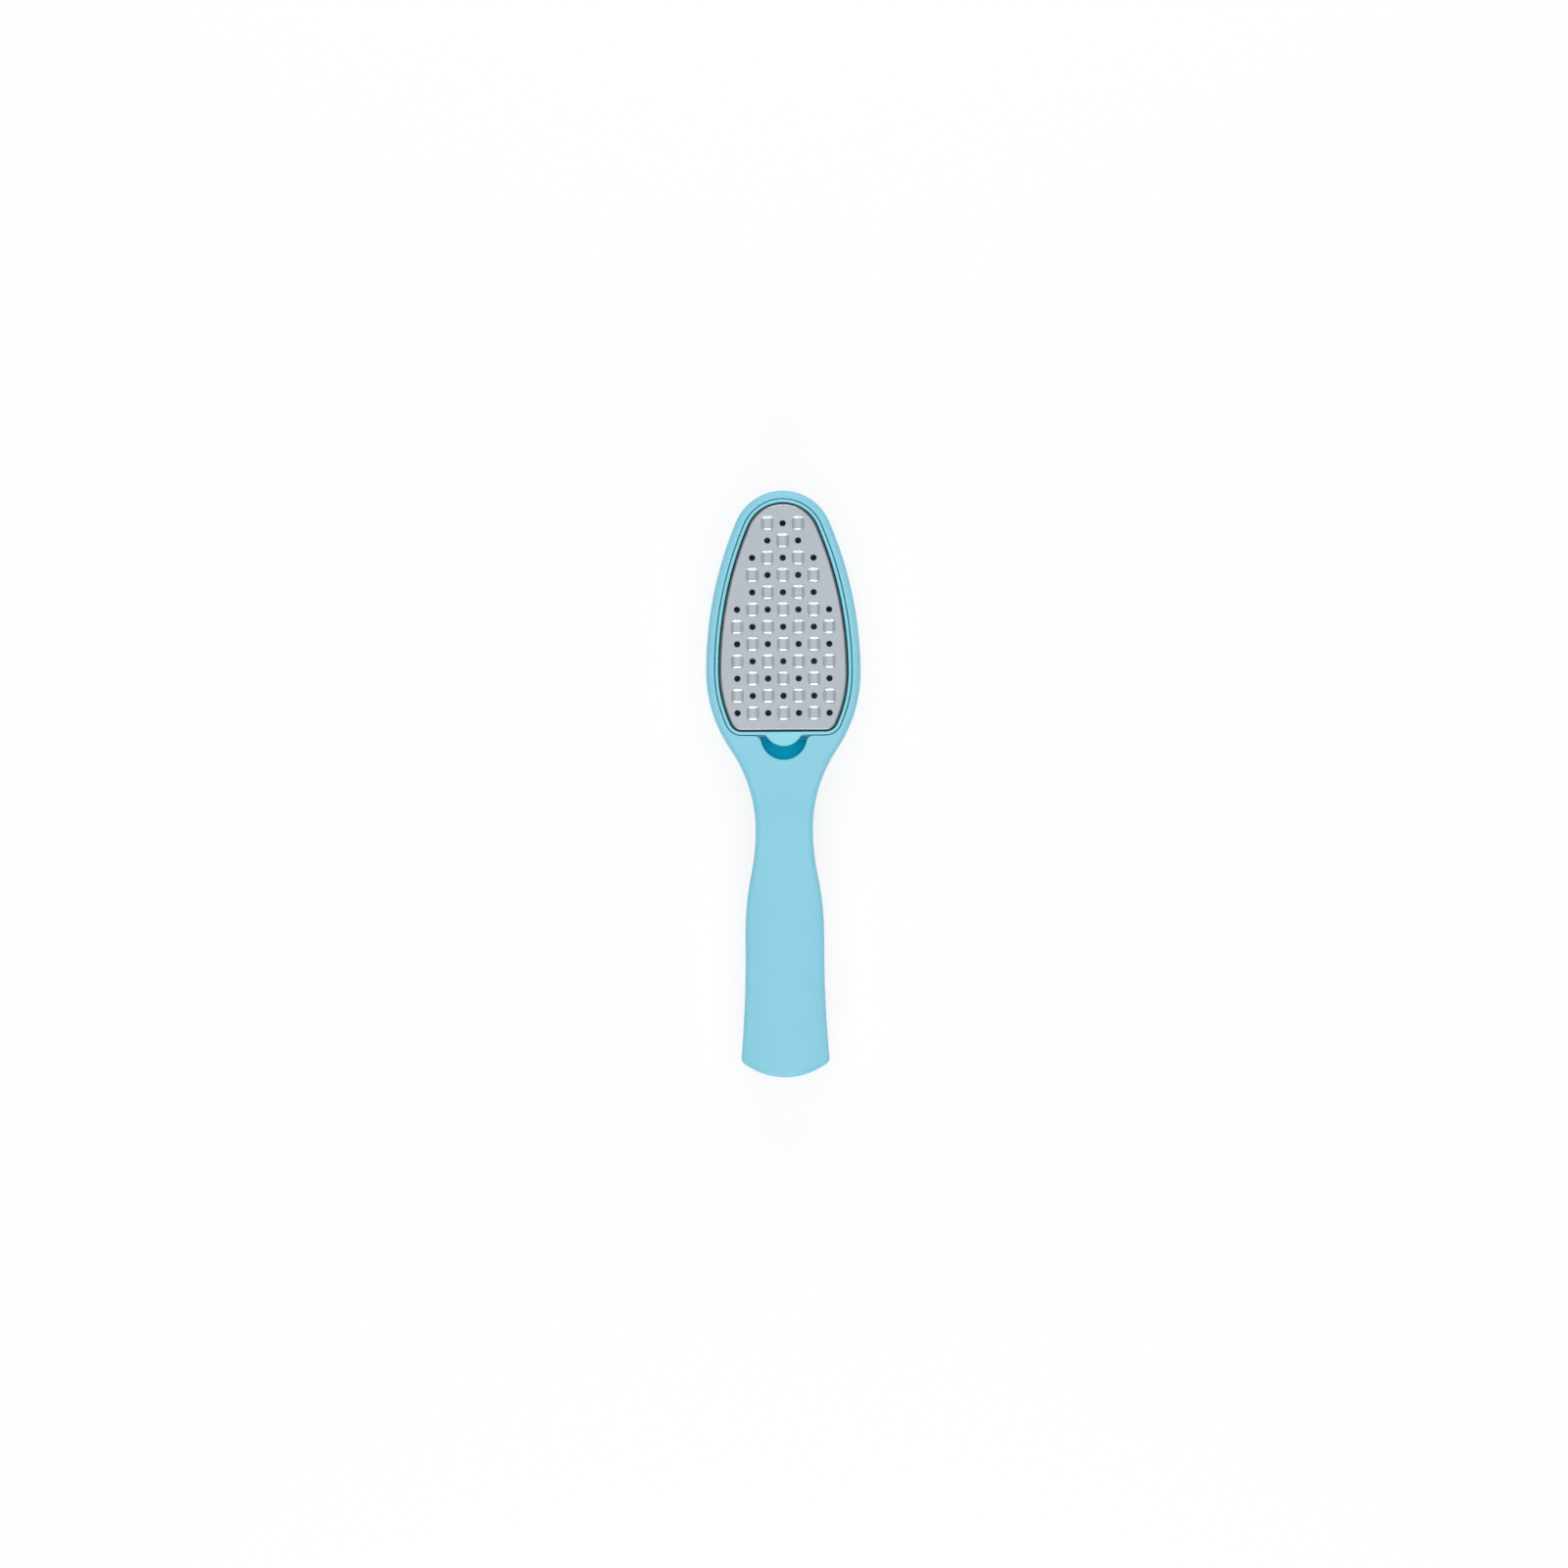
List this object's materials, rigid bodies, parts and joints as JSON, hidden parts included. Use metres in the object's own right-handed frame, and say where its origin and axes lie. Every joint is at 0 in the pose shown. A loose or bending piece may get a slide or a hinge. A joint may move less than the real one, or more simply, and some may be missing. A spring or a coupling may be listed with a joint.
{
  "type": "foot file",
  "caption": "Hand-held foot file with an egg-shaped head, a stamped cutting plate in a cartridge that rocks out to empty the hollow head, and a waisted two-shell grip.",
  "frame": {"origin": "middle of the bounding box, on the surface that the file rests on when it lies on its back", "axes": "+X across the handle, +Y along it towards the head's tip, +Z out of the cutting plate"},
  "size_m": [0.0474, 0.18, 0.0171],
  "materials": {
    "body_plastic": "light-blue moulded plastic with a satin surface",
    "frame_plastic": "the same light-blue plastic, a little glossier",
    "retainer_plastic": "plain light-blue plastic, not seen in use",
    "blade_steel": "stamped stainless sheet, mill finish",
    "screw_steel": "zinc-plated steel"
  },
  "bodies": {
    "handle": {"front_shell": "body_plastic", "back_shell": "body_plastic", "shell_screws": "screw_steel"},
    "cartridge": {"blade_frame": "frame_plastic", "blade_plate": "blade_steel", "plate_retainer": "retainer_plastic"}
  },
  "joints": [
    {"name": "cartridge_rock", "type": "hinge", "parent": "handle", "child": "cartridge", "pos_m": [0, 0.08725, 0.016], "axis": [-1, 0, 0], "range_deg": [0, 35]}
  ]
}
